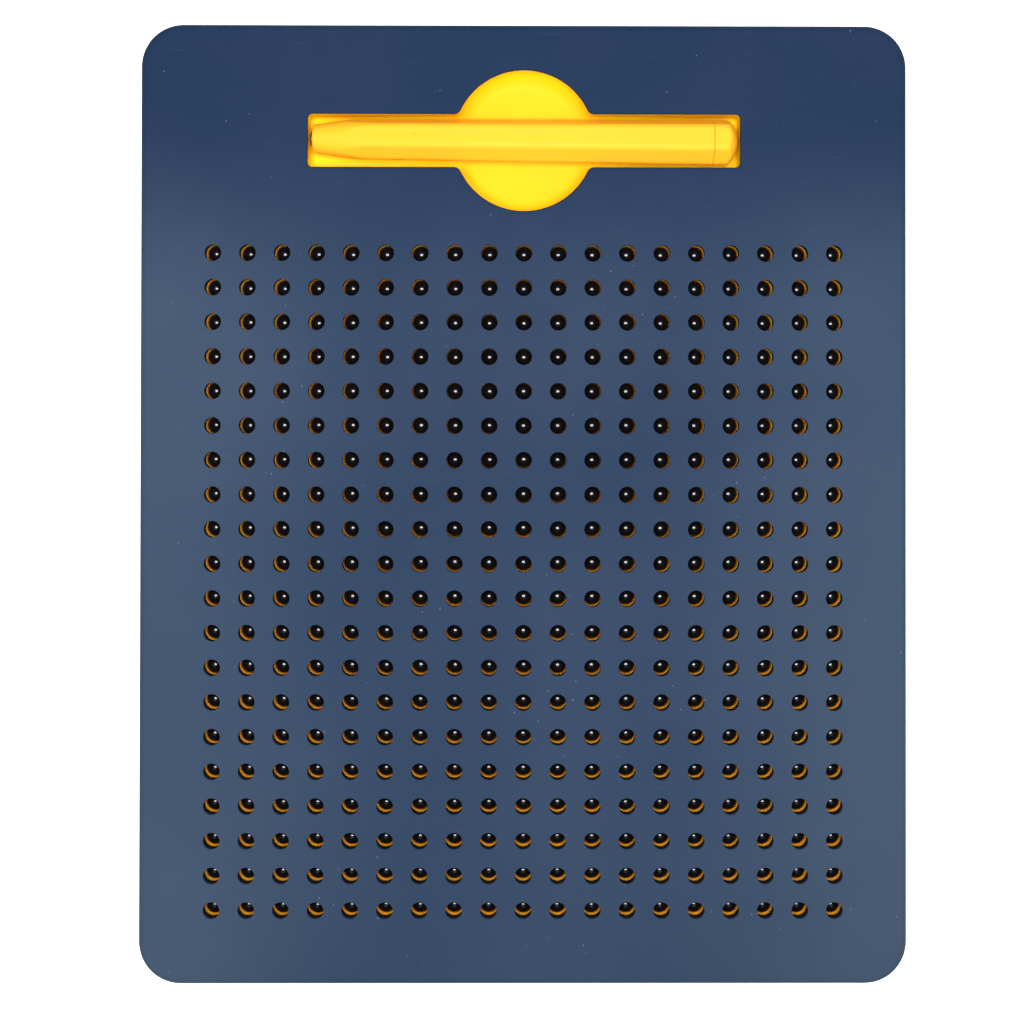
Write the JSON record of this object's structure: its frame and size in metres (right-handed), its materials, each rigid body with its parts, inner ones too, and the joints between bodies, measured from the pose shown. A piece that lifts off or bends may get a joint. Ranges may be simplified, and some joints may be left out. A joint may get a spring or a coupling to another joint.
{
  "type": "magnetic bead drawing board",
  "caption": "Flat drawing board: a magnet pen pulls steel balls up through a grid of round holes in the face plate, with a recess that holds the pen.",
  "frame": {"origin": "centre of the board's flat back face", "axes": "+Z out of the drawing face, +Y from the ball grid towards the pen recess, +X to the right of the person drawing"},
  "size_m": [0.2, 0.25, 0.0144],
  "materials": {
    "navy_plastic": "satin moulded ABS with a faint grain, handling marks and fine speckle",
    "yellow_plastic": "smooth saturated yellow moulded ABS",
    "pen_plastic": "smooth satin yellow moulded ABS, a little paler than the tray",
    "magnet_sheet": "black flexible ferrite-filled sheet, matt",
    "ball_steel": "polished steel balls with a dark mirror finish",
    "screw_steel": "zinc plated steel",
    "magnet_metal": "dark nickel plated magnet"
  },
  "bodies": {
    "board": {"front_cover": "navy_plastic", "magnet_sheet": "magnet_sheet", "ball_tray": "yellow_plastic", "back_cover": "navy_plastic", "case_screws": "screw_steel"},
    "ball_row_01": {"ball_row_01": "ball_steel"},
    "ball_row_02": {"ball_row_02": "ball_steel"},
    "ball_row_03": {"ball_row_03": "ball_steel"},
    "ball_row_04": {"ball_row_04": "ball_steel"},
    "ball_row_05": {"ball_row_05": "ball_steel"},
    "ball_row_06": {"ball_row_06": "ball_steel"},
    "ball_row_07": {"ball_row_07": "ball_steel"},
    "ball_row_08": {"ball_row_08": "ball_steel"},
    "ball_row_09": {"ball_row_09": "ball_steel"},
    "ball_row_10": {"ball_row_10": "ball_steel"},
    "ball_row_11": {"ball_row_11": "ball_steel"},
    "ball_row_12": {"ball_row_12": "ball_steel"},
    "ball_row_13": {"ball_row_13": "ball_steel"},
    "ball_row_14": {"ball_row_14": "ball_steel"},
    "ball_row_15": {"ball_row_15": "ball_steel"},
    "ball_row_16": {"ball_row_16": "ball_steel"},
    "ball_row_17": {"ball_row_17": "ball_steel"},
    "ball_row_18": {"ball_row_18": "ball_steel"},
    "ball_row_19": {"ball_row_19": "ball_steel"},
    "ball_row_20": {"ball_row_20": "ball_steel"},
    "pen": {"pen_barrel": "pen_plastic", "pen_end_cap": "pen_plastic", "pen_magnet": "magnet_metal"}
  },
  "joints": [
    {"name": "ball_row_01_lift", "type": "slide", "parent": "board", "child": "ball_row_01", "axis": [0, 0, 1], "range_m": [0, 0.0042]},
    {"name": "ball_row_02_lift", "type": "slide", "parent": "board", "child": "ball_row_02", "axis": [0, 0, 1], "range_m": [0, 0.0042]},
    {"name": "ball_row_03_lift", "type": "slide", "parent": "board", "child": "ball_row_03", "axis": [0, 0, 1], "range_m": [0, 0.0042]},
    {"name": "ball_row_04_lift", "type": "slide", "parent": "board", "child": "ball_row_04", "axis": [0, 0, 1], "range_m": [0, 0.0042]},
    {"name": "ball_row_05_lift", "type": "slide", "parent": "board", "child": "ball_row_05", "axis": [0, 0, 1], "range_m": [0, 0.0042]},
    {"name": "ball_row_06_lift", "type": "slide", "parent": "board", "child": "ball_row_06", "axis": [0, 0, 1], "range_m": [0, 0.0042]},
    {"name": "ball_row_07_lift", "type": "slide", "parent": "board", "child": "ball_row_07", "axis": [0, 0, 1], "range_m": [0, 0.0042]},
    {"name": "ball_row_08_lift", "type": "slide", "parent": "board", "child": "ball_row_08", "axis": [0, 0, 1], "range_m": [0, 0.0042]},
    {"name": "ball_row_09_lift", "type": "slide", "parent": "board", "child": "ball_row_09", "axis": [0, 0, 1], "range_m": [0, 0.0042]},
    {"name": "ball_row_10_lift", "type": "slide", "parent": "board", "child": "ball_row_10", "axis": [0, 0, 1], "range_m": [0, 0.0042]},
    {"name": "ball_row_11_lift", "type": "slide", "parent": "board", "child": "ball_row_11", "axis": [0, 0, 1], "range_m": [0, 0.0042]},
    {"name": "ball_row_12_lift", "type": "slide", "parent": "board", "child": "ball_row_12", "axis": [0, 0, 1], "range_m": [0, 0.0042]},
    {"name": "ball_row_13_lift", "type": "slide", "parent": "board", "child": "ball_row_13", "axis": [0, 0, 1], "range_m": [0, 0.0042]},
    {"name": "ball_row_14_lift", "type": "slide", "parent": "board", "child": "ball_row_14", "axis": [0, 0, 1], "range_m": [0, 0.0042]},
    {"name": "ball_row_15_lift", "type": "slide", "parent": "board", "child": "ball_row_15", "axis": [0, 0, 1], "range_m": [0, 0.0042]},
    {"name": "ball_row_16_lift", "type": "slide", "parent": "board", "child": "ball_row_16", "axis": [0, 0, 1], "range_m": [0, 0.0042]},
    {"name": "ball_row_17_lift", "type": "slide", "parent": "board", "child": "ball_row_17", "axis": [0, 0, 1], "range_m": [0, 0.0042]},
    {"name": "ball_row_18_lift", "type": "slide", "parent": "board", "child": "ball_row_18", "axis": [0, 0, 1], "range_m": [0, 0.0042]},
    {"name": "ball_row_19_lift", "type": "slide", "parent": "board", "child": "ball_row_19", "axis": [0, 0, 1], "range_m": [0, 0.0042]},
    {"name": "ball_row_20_lift", "type": "slide", "parent": "board", "child": "ball_row_20", "axis": [0, 0, 1], "range_m": [0, 0.0042]},
    {"name": "pen_lift", "type": "slide", "parent": "board", "child": "pen", "axis": [0, 0, 1], "range_m": [0, 0.06]}
  ]
}
